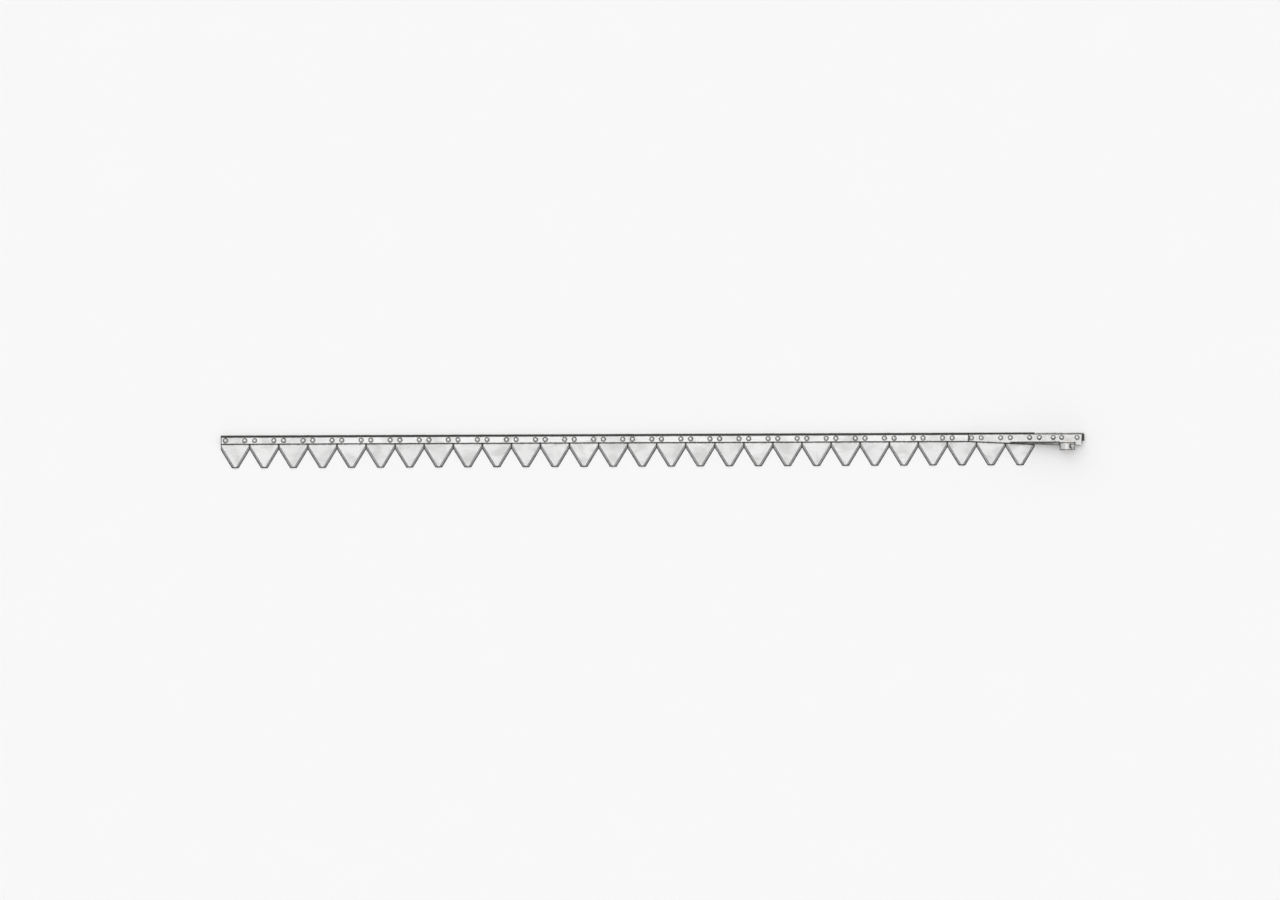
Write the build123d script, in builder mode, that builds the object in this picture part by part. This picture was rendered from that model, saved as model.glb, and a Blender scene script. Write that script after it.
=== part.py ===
"""Sickle bar mower knife: a row of bevelled sections riveted under a flat knife back,
with a forged knife head at the drive end.

X runs along the knife towards the drive end, the section tips point to -Y and +Z is up.
The knife lies flat on the undersides of its sections, at Z = 0.
"""

import os
from math import cos, radians, sin, sqrt

from build123d import *

# Knife sections
section_count = 28
section_pitch = 76.2
section_gap = 0.8
section_length = 86.0
section_thickness = 2.8
section_shoulder = 38.5
section_tip_width = 17.5
bevel_width = 7.0
edge_land = 0.3
section_overhang = 5.0

# Knife back
bar_width = 18.0
bar_thickness = 6.35
bar_end_stand_out = 7.0
bar_end_chamfer = 1.5

# Rivets, and the holes that they fill
rivet_spacing = 50.8
rivet_diameter = 6.4
rivet_head_diameter = 11.4
rivet_head_height = 3.0
rivet_head_taper = 38.0
rivet_end_recess = 0.2
rivet_sides = 8
rivet_head_sides = 12

# Strap of the knife head
strap_thickness = 6.35
strap_section_rivets = 5
strap_inner_margin = 6.4
strap_outer_reach = 18.5
strap_outer_margin = 12.5
strap_front_reach = 11.7
strap_corner_radius = 2.0

# Drive lug on the strap, placed from the end of the last section, and the rib that braces it
lug_distance = 85.5
lug_rivet_offsets = (-36.5, -14.5)
lug_width = 40.0
lug_depth = 20.0
lug_bar_clearance = 3.9
lug_bore_height = 20.0
lug_edge_chamfer = 1.2
foot_radius = 3.5
rib_height = 18.0
rib_end_height = 4.5
rib_end_width = 1.4

# Wear plate under the drive end of the knife back
wear_plate_gap = 3.0
wear_plate_setback = 2.0

# Drive bushing and grease fitting
bushing_bore = 20.0
bushing_wall = 3.0
bushing_stand_out = 0.5
fitting_angle = 38.0
fitting_shank_diameter = 6.0
fitting_sides = 12
fitting_seat_depth = 1.2
fitting_hex = 8.0
fitting_seat_margin = 0.9
fitting_hex_height = 3.5
fitting_tip_diameter = 6.4
fitting_tip_height = 6.0
fitting_tip_taper = 13.0
fitting_end_clearance = 0.3

# Places worked out from the sizes above
sections_length = section_count * section_pitch
strap_outer_length = lug_distance + lug_width / 2 + strap_outer_reach
knife_length = sections_length - section_gap / 2 + strap_outer_length + bar_end_stand_out
outer_end_x = -knife_length / 2
sections_start_x = outer_end_x - section_gap / 2
sections_end_x = sections_start_x + sections_length
back_y = section_length / 2
bar_back_y = back_y - section_overhang
bar_front_y = bar_back_y - bar_width
rivet_y = bar_back_y - bar_width / 2
bar_top_z = section_thickness + bar_thickness
strap_top_z = bar_top_z + strap_thickness
strap_end_x = sections_end_x + strap_outer_length
strap_front_y = bar_front_y - strap_front_reach
lug_x = sections_end_x + lug_distance
lug_start_x = lug_x - lug_width / 2
lug_back_y = bar_front_y - lug_bar_clearance
bore_z = strap_top_z + lug_bore_height
bushing_diameter = bushing_bore + 2 * bushing_wall


def section_centre(index):
    """X of the middle of a section, counted from the outer end of the knife."""
    return sections_start_x + (index + 0.5) * section_pitch


# Rivet places along the middle of the knife back: two to each section, then four past the last
section_rivets = [
    (section_centre(index) + side * rivet_spacing / 2, rivet_y)
    for index in range(section_count)
    for side in (-1, 1)
]
plate_rivets = [
    (sections_end_x + (section_pitch - rivet_spacing) / 2, rivet_y),
    (lug_x + lug_rivet_offsets[0], rivet_y),
    (lug_x + lug_rivet_offsets[1], rivet_y),
    (strap_end_x - strap_outer_margin, rivet_y),
]
plain_rivets = section_rivets[:-strap_section_rivets]
strap_rivets = section_rivets[-strap_section_rivets:] + plate_rivets
strap_start_x = strap_rivets[0][0] - strap_inner_margin


def knife_section(index):
    """One section: a flat blade with two ground cutting edges, a blunt tip and two rivet holes."""
    half_width = (section_pitch - section_gap) / 2
    tip_y = back_y - section_length
    shoulder_y = back_y - section_shoulder
    place = Plane((section_centre(index), 0, 0))
    with BuildPart() as section:
        with BuildSketch(place):
            with BuildLine():
                Polyline(
                    (-half_width, back_y),
                    (-half_width, shoulder_y),
                    (-section_tip_width / 2, tip_y),
                    (section_tip_width / 2, tip_y),
                    (half_width, shoulder_y),
                    (half_width, back_y),
                    close=True,
                )
            make_face()
        extrude(amount=section_thickness)
        top = section.faces().sort_by(Axis.Z)[-1]
        cutting_edges = [e for e in top.edges() if abs(e.tangent_at(0).X * e.tangent_at(0).Y) > 0.01]
        chamfer(cutting_edges, bevel_width, section_thickness - edge_land, reference=top)
        with BuildSketch(place):
            with Locations((-rivet_spacing / 2, rivet_y), (rivet_spacing / 2, rivet_y)):
                RegularPolygon(rivet_diameter / 2, rivet_sides)
        extrude(amount=section_thickness, mode=Mode.SUBTRACT)
    return section.part


def rivet_group(points, top_z):
    """Rivets with a low round head on top, their lower ends dressed just short of the underside."""
    with BuildPart() as rivets:
        with BuildSketch(Plane.XY.offset(rivet_end_recess)):
            with Locations(*points):
                RegularPolygon(rivet_diameter / 2, rivet_sides)
        extrude(amount=top_z - rivet_end_recess)
        with BuildSketch(Plane.XY.offset(top_z)):
            with Locations(*points):
                RegularPolygon(rivet_head_diameter / 2, rivet_head_sides)
        extrude(amount=rivet_head_height, taper=rivet_head_taper)
    return rivets.part


# Knife back: a flat bar over the back of the sections, with a hole for every rivet
with BuildPart() as knife_back:
    with BuildSketch(Plane.XY.offset(section_thickness)):
        with Locations((outer_end_x, rivet_y)):
            Rectangle(knife_length, bar_width, align=(Align.MIN, Align.CENTER))
    extrude(amount=bar_thickness)
    chamfer(knife_back.edges().filter_by(Axis.Z).group_by(Axis.X)[-1], bar_end_chamfer)
    with BuildSketch(Plane.XY.offset(section_thickness)):
        with Locations(*section_rivets, *plate_rivets):
            RegularPolygon(rivet_diameter / 2, rivet_sides)
    extrude(amount=bar_thickness, mode=Mode.SUBTRACT)

# Wear plate: fills the depth of a section under the knife back, past the last section
with BuildPart() as wear_plate:
    plate_start_x = sections_end_x + wear_plate_gap
    plate_length = -outer_end_x - wear_plate_setback - plate_start_x
    with BuildSketch():
        with Locations((plate_start_x, back_y)):
            Rectangle(plate_length, section_overhang + bar_width, align=(Align.MIN, Align.MAX))
        with Locations(*plate_rivets):
            RegularPolygon(rivet_diameter / 2, rivet_sides, mode=Mode.SUBTRACT)
    extrude(amount=section_thickness)

# Seat of the grease fitting, on the shoulder of the lug that faces the drive end
fitting_direction = Vector(sin(radians(fitting_angle)), 0, cos(radians(fitting_angle)))
lug_middle = Vector(lug_x, lug_back_y - lug_depth / 2, bore_z)
seat_height = lug_width / 2 - fitting_seat_depth
fitting_seat = Plane(lug_middle + fitting_direction * seat_height, (0, 1, 0), fitting_direction)

# Knife head: one forging, a strap that widens towards the drive end, the lug and its rib
with BuildPart() as knife_head:
    with BuildSketch(Plane.XY.offset(bar_top_z)):
        with BuildLine():
            Polyline(
                (strap_start_x, bar_back_y),
                (strap_start_x, bar_front_y),
                (lug_start_x, strap_front_y),
                (strap_end_x, strap_front_y),
                (strap_end_x, bar_back_y),
                close=True,
            )
        make_face()
    extrude(amount=strap_thickness)
    fillet(knife_head.edges().filter_by(Axis.Z).group_by(Axis.X)[-1], strap_corner_radius)
    # The lug stands on the strap and hooks over its front edge
    with BuildSketch(Plane.XZ.offset(-lug_back_y)):
        with Locations((lug_x, bore_z)):
            Circle(lug_width / 2)
        with Locations((lug_x, bar_top_z)):
            Rectangle(lug_width, lug_bore_height + strap_thickness, align=(Align.CENTER, Align.MIN))
    extrude(amount=lug_depth)
    lug_front = knife_head.faces().filter_by(Axis.Y).sort_by(Axis.Y)[0]
    chamfer(lug_front.edges(), lug_edge_chamfer)
    # The rib widens with the strap, from a thin outer end to the foot of the lug
    rib_start_y = lug_back_y - rib_end_width
    rib_start_share = (bar_front_y - rib_start_y) / strap_front_reach
    rib_start_x = strap_start_x + rib_start_share * (lug_start_x - strap_start_x)
    with BuildSketch(Plane.XY.offset(bar_top_z)):
        with BuildLine():
            Polyline(
                (rib_start_x, lug_back_y),
                (rib_start_x, rib_start_y),
                (lug_start_x, strap_front_y),
                (lug_start_x, lug_back_y),
                close=True,
            )
        make_face()
    extrude(amount=strap_thickness + rib_height)
    # Its top edge slopes down from the lug
    with BuildSketch(Plane.XZ.offset(-lug_back_y)):
        with BuildLine():
            Polyline(
                (rib_start_x, strap_top_z + rib_end_height),
                (lug_start_x, strap_top_z + rib_height),
                (rib_start_x, strap_top_z + rib_height),
                close=True,
            )
        make_face()
    extrude(amount=lug_depth, mode=Mode.SUBTRACT)
    # A blend along the foot of the lug and the rib
    foot = knife_head.edges().filter_by_position(Axis.Z, strap_top_z - 0.01, strap_top_z + 0.01)
    foot = foot.filter_by_position(Axis.Y, strap_front_y, lug_back_y + 0.01)
    behind = foot.filter_by(Axis.X).sort_by(Axis.Y)[-1]
    beside = foot.filter_by(Axis.Y).sort_by(Axis.X)[-1]
    fillet([behind, beside], foot_radius)
    # The bore for the bushing, the seat and hole of the grease fitting, and the rivet holes
    with BuildSketch(Plane.XZ.offset(-lug_back_y)):
        with Locations((lug_x, bore_z)):
            Circle(bushing_diameter / 2)
    extrude(amount=lug_depth, mode=Mode.SUBTRACT)
    with BuildSketch(fitting_seat):
        Circle(fitting_hex / sqrt(3) + fitting_seat_margin)
    extrude(amount=fitting_seat_depth * 2, mode=Mode.SUBTRACT)
    with BuildSketch(fitting_seat):
        RegularPolygon(fitting_shank_diameter / 2, fitting_sides)
    extrude(amount=-seat_height, mode=Mode.SUBTRACT)
    with BuildSketch(Plane.XY.offset(bar_top_z)):
        with Locations(*strap_rivets):
            RegularPolygon(rivet_diameter / 2, rivet_sides)
    extrude(amount=strap_thickness, mode=Mode.SUBTRACT)

# Drive bushing: a sleeve pressed into the lug
with BuildPart() as drive_bushing:
    with BuildSketch(Plane.XZ.offset(-lug_back_y - bushing_stand_out)):
        with Locations((lug_x, bore_z)):
            Circle(bushing_diameter / 2)
            Circle(bushing_bore / 2, mode=Mode.SUBTRACT)
    extrude(amount=lug_depth + 2 * bushing_stand_out)

# Grease fitting: a shank screwed into the lug, a hexagon and a tapered nipple
with BuildPart() as grease_fitting:
    with BuildSketch(fitting_seat):
        RegularPolygon(fitting_shank_diameter / 2, fitting_sides)
    extrude(amount=bushing_diameter / 2 + fitting_end_clearance - seat_height)
    with BuildSketch(fitting_seat):
        RegularPolygon(fitting_hex / 2, 6, major_radius=False)
    extrude(amount=fitting_hex_height)
    with BuildSketch(fitting_seat.offset(fitting_hex_height)):
        RegularPolygon(fitting_tip_diameter / 2, fitting_sides)
    extrude(amount=fitting_tip_height, taper=fitting_tip_taper)

# Every piece goes out as a node of its own
os.makedirs("parts", exist_ok=True)
pieces = {
    "knife_back": knife_back.part,
    "wear_plate": wear_plate.part,
    "knife_head": knife_head.part,
    "drive_bushing": drive_bushing.part,
    "grease_fitting": grease_fitting.part,
    "section_rivets": rivet_group(plain_rivets, bar_top_z),
    "head_rivets": rivet_group(strap_rivets, strap_top_z),
}
for index in range(section_count):
    pieces[f"section_{index + 1:02d}"] = knife_section(index)
for name, piece in pieces.items():
    piece.label = name
    export_step(piece, f"parts/{name}.step")
    print(name, len(piece.solids()), "solids,", round(piece.volume / 1000, 2), "cm3")
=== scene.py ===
# %% [markdown]
# # A sickle bar mower knife
# A mower knife is the cutting part of a sickle bar: a row of flat steel sections, each with two
# ground edges, riveted under a long flat bar. A forged head at one end takes the drive.
# The CAD model could be dressed as it is, but its round parts have few sides and its edges are
# sharp. So it is loaded as a fixed frame, and each piece is modelled again over its solid.

# %% Load the CAD frame
from math import atan2, cos, degrees, radians, sin, sqrt

import bmesh
import bpy
from mathutils import Matrix, Vector

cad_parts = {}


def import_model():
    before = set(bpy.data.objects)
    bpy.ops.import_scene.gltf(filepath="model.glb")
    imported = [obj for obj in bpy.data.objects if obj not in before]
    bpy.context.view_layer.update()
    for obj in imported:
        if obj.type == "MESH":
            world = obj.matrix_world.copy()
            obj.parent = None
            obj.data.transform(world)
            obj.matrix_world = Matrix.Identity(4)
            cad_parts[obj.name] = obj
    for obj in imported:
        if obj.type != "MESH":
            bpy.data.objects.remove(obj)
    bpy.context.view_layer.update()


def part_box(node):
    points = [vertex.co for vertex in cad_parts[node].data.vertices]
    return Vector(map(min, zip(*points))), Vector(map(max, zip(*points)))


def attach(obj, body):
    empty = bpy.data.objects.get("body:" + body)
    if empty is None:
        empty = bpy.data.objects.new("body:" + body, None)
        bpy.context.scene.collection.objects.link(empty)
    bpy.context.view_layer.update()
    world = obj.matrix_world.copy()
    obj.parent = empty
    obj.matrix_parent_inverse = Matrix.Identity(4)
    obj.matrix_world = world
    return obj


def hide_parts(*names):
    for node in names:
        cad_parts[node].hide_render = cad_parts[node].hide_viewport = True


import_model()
MM = 0.001

# %% [markdown]
# ## The camera
# The picture is a plan: the knife is seen from straight above, and nothing gets smaller with
# distance. A perspective camera far away would come close, but an orthographic one is exact.
# One pixel covers the same length everywhere, so a scale and a middle point place the knife. How
# high the camera stands makes no difference to the picture.

# %% Plan camera
picture_pixels = 1280
pixel = 2.6214 * MM
picture_middle = (-33.3 * MM, 0.5 * MM)
picture_tilt = -0.0039
camera_height = 20.0
bpy.ops.object.select_all(action="DESELECT")
bpy.ops.object.camera_add(location=(*picture_middle, camera_height), rotation=(0, 0, picture_tilt))
camera = bpy.context.object
camera.name = "plan_camera"
camera.data.type = "ORTHO"
camera.data.ortho_scale = picture_pixels * pixel
bpy.context.scene.camera = camera
print("picture width in m:", round(camera.data.ortho_scale, 3))

# %% [markdown]
# ## Floor
# The knife lies on a pale painted floor. A plane of one flat colour would look like paper, so its
# paint has a faint mottle. Materials are trees of nodes, and one helper adds a node, sets it up
# and links it, whatever its kind.

# %% Pale floor
floor_size = 30
floor_drop = 0.4 * MM
scene = bpy.context.scene
scene.view_settings.view_transform = "Standard"


def settle(name):
    """Puts the place of the piece at hand into its mesh, and names the piece."""
    bpy.ops.object.transform_apply(location=True, rotation=True, scale=True)
    piece = bpy.context.object
    piece.name = name
    return piece


def grey(level):
    """A colour without any tint."""
    return (level, level, level, 1)


def add_node(tree, kind, inputs=(), **settings):
    """Adds a shader node, sets it up, and links or sets its inputs."""
    node = tree.nodes.new(kind)
    for setting, value in settings.items():
        setattr(node, setting, value)
    for socket, value in dict(inputs).items():
        if isinstance(value, bpy.types.NodeSocket):
            tree.links.new(value, node.inputs[socket])
        else:
            node.inputs[socket].default_value = value
    return node


def start_material(name, **plain):
    """A new material with its Principled shader, whose plain values are set on its own sockets."""
    material = bpy.data.materials.new(name)
    material.use_nodes = True
    shader = material.node_tree.nodes["Principled BSDF"]
    for socket, value in plain.items():
        shader.inputs[socket].default_value = value
    return material, material.node_tree, shader


bpy.ops.object.select_all(action="DESELECT")
bpy.ops.mesh.primitive_plane_add(size=floor_size, location=(0, 0, -floor_drop))
floor = settle("pale_floor")
paper, paper_tree, paper_shader = start_material("pale_paint", Roughness=0.9)
where = add_node(paper_tree, "ShaderNodeTexCoord").outputs["Object"]
mottle = add_node(paper_tree, "ShaderNodeTexNoise", {"Vector": where, "Scale": 6.0, "Detail": 4.0})
paint = add_node(paper_tree, "ShaderNodeValToRGB", {"Fac": mottle.outputs["Fac"]})
paint.color_ramp.elements[0].color = grey(0.955)
paint.color_ramp.elements[1].color = grey(0.965)
paper_tree.links.new(paint.outputs["Color"], paper_shader.inputs["Base Color"])
floor.data.materials.append(paper)
print("floor is", floor.dimensions.x, "m wide")

# %% [markdown]
# ## Light
# Steel has little colour of its own and shows what is around it. The sky of this studio is bright
# overhead and at the walls, and darker in between. Flat faces mirror the bright part, and the
# ground edges, which tilt by about twenty degrees, mirror the darker ring and stand out as bands.
# Below the horizon the sky has the tone of the floor. A broad sun from behind adds a short shadow
# along every front edge.

# %% Studio sky and soft sun
sky = bpy.data.worlds.new("studio_sky")
scene.world = sky
sky.use_nodes = True
sky_tree = sky.node_tree
direction = add_node(sky_tree, "ShaderNodeTexCoord").outputs["Generated"]
height = add_node(sky_tree, "ShaderNodeSeparateXYZ", {"Vector": direction}).outputs["Z"]
zones = add_node(sky_tree, "ShaderNodeValToRGB", {"Fac": height})
stops = zones.color_ramp.elements
stops[0].color = grey(0.722)
stops[1].color = grey(1.0)
for place, level in ((0.02, 0.80), (0.42, 0.80), (0.62, 0.32), (0.84, 0.32), (0.95, 1.0)):
    stops.new(place).color = grey(level)
background = sky_tree.nodes["Background"].inputs
sky_tree.links.new(zones.outputs["Color"], background["Color"])
background["Strength"].default_value = 1.3

up = Vector((0, 0, 1))
sun_from = Vector((-0.3, 0.5, 0.95))
bpy.ops.object.select_all(action="DESELECT")
bpy.ops.object.light_add(type="SUN", rotation=sun_from.to_track_quat("Z", "Y").to_euler())
sun = bpy.context.object
sun.name = "soft_sun"
sun.data.energy = 0.8
sun.data.angle = radians(60)
print("sun stands", round(90 - degrees(sun_from.angle(up))), "degrees high")

# %% [markdown]
# ## A knife section
# A section is a flat steel blade. It is punched from strip, its two slanted sides are ground to
# cutting edges from above, and its tip is left blunt. It could be drawn as an outline and raised,
# but cutting a block is nearer to the real work: the bisect tool takes off the two sides like a
# shear, and then the two edges like a grinding wheel. The CAD sections stand a hair apart, and real
# ones touch, so the block is a little wider towards the next section.

# %% Tools to block out and cut


def start_block(name, low, high):
    """Adds a cube that fills the box between two corners, with its place in its mesh."""
    low, high = Vector(low), Vector(high)
    bpy.ops.object.select_all(action="DESELECT")
    bpy.ops.mesh.primitive_cube_add(size=1, location=(low + high) / 2, scale=high - low)
    return settle(name)


def work_on(piece):
    """Makes one piece the only selected one and the active one."""
    bpy.ops.object.select_all(action="DESELECT")
    piece.select_set(True)
    bpy.context.view_layer.objects.active = piece


def cut_away(piece, point, outward):
    """Cuts a piece along a plane, drops the outward side and closes the cut."""
    work_on(piece)
    bpy.ops.object.mode_set(mode="EDIT")
    bpy.ops.mesh.select_all(action="SELECT")
    bpy.ops.mesh.bisect(plane_co=point, plane_no=outward, use_fill=True, clear_outer=True)
    bpy.ops.object.mode_set(mode="OBJECT")


section_low, section_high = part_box("section_01")
section_middle = (section_low.x + section_high.x) / 2
section_top = section_high.z
print("section in mm:", [round(side / MM, 2) for side in section_high - section_low])

# %% Cut and grind one section
shoulder_y = section_high.y - 38.5 * MM
half_width = section_high.x - section_middle
tip_half_width = 8.75 * MM
edge_land = 0.3 * MM
grind_width = 7.0 * MM
joint_filling = Vector((0.66 * MM, 0, 0))

section = start_block("knife_section_01", section_low, section_high + joint_filling)
for side in (-1, 1):
    shoulder = Vector((section_middle + side * half_width, shoulder_y, 0))
    tip = Vector((section_middle + side * tip_half_width, section_low.y, 0))
    run = (tip - shoulder).normalized()
    edge_outward = side * Vector((-run.y, run.x, 0))
    cut_away(section, shoulder, edge_outward)
    grind = edge_outward * (section_top - edge_land) + up * grind_width
    cut_away(section, shoulder + up * edge_land, grind.normalized())
edge_angle = atan2(edge_outward.y, edge_outward.x)
print(len(section.data.polygons), "faces, edge angle", round(degrees(edge_angle), 1))

# %% [markdown]
# A punched edge is never razor sharp where it isn't ground, so the back and the short straight
# sides get a small round. The cutting edges stay crisp. Edges are picked by their direction: the
# ones to round run along an axis, and the ground ones don't.

# %% Round the punched edges
CLOSE = 1e-6


def pick(piece, kind, test):
    """Goes into edit mode and selects only the edges or faces that pass a test."""
    work_on(piece)
    bpy.ops.object.mode_set(mode="EDIT")
    bpy.ops.mesh.select_mode(type=kind)
    bpy.ops.mesh.select_all(action="DESELECT")
    mesh = bmesh.from_edit_mesh(piece.data)
    picked = [part for part in (mesh.edges if kind == "EDGE" else mesh.faces) if test(part)]
    for part in picked:
        part.select_set(True)
    bmesh.update_edit_mesh(piece.data)
    return len(picked)


def round_edges(piece, test, radius, steps):
    """Rounds the edges of a piece that pass a test."""
    count = pick(piece, "EDGE", test)
    bpy.ops.mesh.bevel(offset=radius, segments=steps, affect="EDGES", clamp_overlap=True)
    bpy.ops.object.mode_set(mode="OBJECT")
    print(piece.name, "has", count, "edges rounded to", round(radius / MM, 2), "mm")


def along_axis(edge):
    """True for an edge that runs along X, Y or Z."""
    step = edge.verts[1].co - edge.verts[0].co
    return sum(abs(part) > CLOSE for part in step) == 1


def punched_edge(edge):
    """True for the outline of a section behind its ground edges."""
    return along_axis(edge) and max(v.co.y for v in edge.verts) > shoulder_y + 2 * MM


round_edges(section, punched_edge, radius=0.35 * MM, steps=2)

# %% [markdown]
# Each section hangs on two rivets, so it has two holes. A hole could be bridged into the faces, but
# taking a pin away with a Boolean works in any piece. The pins for one piece are joined first, so
# that one cut makes all its holes.

# %% Drill the rivet holes
bar_low, bar_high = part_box("knife_back")
rivet_y = (bar_low.y + bar_high.y) / 2
rivet_reach = 25.4 * MM
hole_radius = 3.2 * MM


def start_pin(name, radius, start, end, sides):
    """Adds a cylinder from one point to another, with its place in its mesh."""
    start, end = Vector(start), Vector(end)
    turn = (end - start).to_track_quat("Z", "Y").to_euler()
    bpy.ops.object.select_all(action="DESELECT")
    bpy.ops.mesh.primitive_cylinder_add(
        vertices=sides,
        radius=radius,
        depth=(end - start).length,
        location=(start + end) / 2,
        rotation=turn,
    )
    return settle(name)


def modify(piece, kind, **settings):
    """Adds a modifier to a piece, sets it up and applies it."""
    work_on(piece)
    modifier = piece.modifiers.new(kind.lower(), kind)
    for setting, value in settings.items():
        setattr(modifier, setting, value)
    bpy.ops.object.modifier_apply(modifier=modifier.name)


def combine(piece, other, how):
    """Cuts another shape out of a piece, or joins it on, and removes the other shape."""
    modify(piece, "BOOLEAN", operation=how, solver="EXACT", object=other)
    bpy.data.objects.remove(other)


def drill(piece, places, low_z, high_z):
    """Drills upright rivet holes at some places, from below one height to above another."""
    spare = 2 * MM
    ends = [((x, y, low_z - spare), (x, y, high_z + spare)) for x, y in places]
    pins = [start_pin("drill", hole_radius, start, end, 24) for start, end in ends]
    bpy.ops.object.select_all(action="DESELECT")
    for pin in pins:
        pin.select_set(True)
    bpy.context.view_layer.objects.active = pins[0]
    bpy.ops.object.join()
    combine(piece, pins[0], "DIFFERENCE")
    print(piece.name, "has", len(places), "holes and", len(piece.data.polygons), "faces")


holes = [(section_middle + side * rivet_reach, rivet_y) for side in (-1, 1)]
drill(section, holes, 0, section_top)

# %% [markdown]
# The finish differs over one section: the flats are rolled, and the slopes are ground across the
# edge. A number stored on each face tells the material which it is: -1 or 1 for the two slopes
# and 0 elsewhere. A second number marks the narrow rounded edges, which rub bright.

# %% Mark the faces of the section


def store(piece, name, value_of, kind="FACE"):
    """Stores a number on every face or point of a piece, for its material to read."""
    layer = piece.data.attributes.new(name, "FLOAT", kind)
    parts = piece.data.polygons if kind == "FACE" else piece.data.vertices
    values = [value_of(part) for part in parts]
    layer.data.foreach_set("value", values)
    print(piece.name, "has", name, "on", sum(value != 0 for value in values), "of", len(values))


def slope_side(face):
    """1 or -1 on a ground slope, by the side that it faces, and 0 elsewhere."""
    tilted = 0.5 < face.normal.z < 0.99 and abs(face.normal.x) > 0.15 and face.normal.y < -0.1
    return 0.0 if not tilted else 1.0 if face.normal.x > 0 else -1.0


def face_width(piece, face):
    """How wide a face is across its longest side."""
    corners = [piece.data.vertices[index].co for index in face.vertices]
    longest = max((a - b).length for a, b in zip(corners, corners[1:] + corners[:1]))
    return face.area / longest


def mark_rounds(piece, width):
    """Stores 1 on the narrow slanted faces of rounded edges, and 0 elsewhere."""

    def rounded(face):
        slanted = max(abs(part) for part in face.normal) < 0.99
        return float(slanted and face_width(piece, face) < width)

    store(piece, "worn_edge", rounded)


store(section, "slope_side", slope_side)
mark_rounds(section, width=0.3 * MM)

# %% [markdown]
# The finished section is copied along the bar, once for each CAD section. Linked copies would share
# one mesh, but each copy has its place in its mesh, so each gets a mesh of its own.

# %% Copy the sections
section_count = 28


def copy_along(pattern, name, shift):
    """Copies a finished piece to another place, with a mesh of its own."""
    piece = pattern.copy()
    piece.data = pattern.data.copy()
    piece.data.transform(Matrix.Translation(shift))
    piece.name = name
    bpy.context.collection.objects.link(piece)
    return piece


sections = [section]
section_middles = [section_middle]
for number in range(2, section_count + 1):
    low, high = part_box(f"section_{number:02d}")
    section_middles.append((low.x + high.x) / 2)
    shift = Vector((section_middles[-1] - section_middle, 0, 0))
    sections.append(copy_along(section, f"knife_section_{number:02d}", shift))
print(len(sections), "sections")

# %% [markdown]
# ## The knife back
# The knife back is a plain drawn bar that every section hangs on. It could be left as the CAD
# solid, but light runs along the soft edges of a real drawn bar. So it is a block with cut corners
# at the drive end and rounded long edges, drilled once for every rivet. The last rivets are longer,
# because they also go through the strap of the head.

# %% Bar with rounded edges and rivet holes
head_low, head_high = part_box("knife_head")
bush_low, bush_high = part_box("drive_bushing")
lug_x = (bush_low.x + bush_high.x) / 2
sections_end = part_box("section_28")[1].x + 0.4 * MM
section_places = [(x + side * rivet_reach, rivet_y) for x in section_middles for side in (-1, 1)]
plate_places = [
    (sections_end + 12.7 * MM, rivet_y),
    (lug_x - 36.5 * MM, rivet_y),
    (lug_x - 14.5 * MM, rivet_y),
    (head_high.x - 12.5 * MM, rivet_y),
]
short_places = section_places[:-5]
long_places = section_places[-5:] + plate_places


def level_outline(edge):
    """True for an edge that lies level, on the top or the bottom of a bar."""
    return abs(edge.verts[0].co.z - edge.verts[1].co.z) < CLOSE


def upright_at(x):
    """A test for the upright edges at one end of a bar."""

    def test(edge):
        at_end = all(abs(v.co.x - x) < CLOSE for v in edge.verts)
        return at_end and along_axis(edge) and abs(edge.verts[0].co.z - edge.verts[1].co.z) > MM

    return test


bar = start_block("knife_back_bar", bar_low, bar_high)
round_edges(bar, upright_at(bar_high.x), radius=1.5 * MM, steps=1)
round_edges(bar, level_outline, radius=0.7 * MM, steps=3)
drill(bar, section_places + plate_places, bar_low.z, bar_high.z)
mark_rounds(bar, width=0.5 * MM)

# %% [markdown]
# ## The wear plate
# Past the last section, a plate as thick as a section fills the gap under the bar, so that the
# knife runs level. It is made in the same way as the bar.

# %% Wear plate
plate_low, plate_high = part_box("wear_plate")
plate = start_block("wear_plate_strip", plate_low, plate_high)
round_edges(plate, lambda edge: not level_outline(edge), radius=1.0 * MM, steps=3)
round_edges(plate, level_outline, radius=0.4 * MM, steps=2)
drill(plate, plate_places, 0, plate_high.z)
mark_rounds(plate, width=0.3 * MM)
print("plate in mm:", [round(side / MM, 1) for side in plate.dimensions])

# %% [markdown]
# ## The rivets
# Each section hangs on two rivets with a low domed head. A rivet could be cut from a ball, but it
# is easier to raise it like work on a lathe: a disc is extruded upwards ring by ring, and each
# ring gets its radius. The lower end is a little domed too, where it was hammered in its hole.

# %% A lathe


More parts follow.
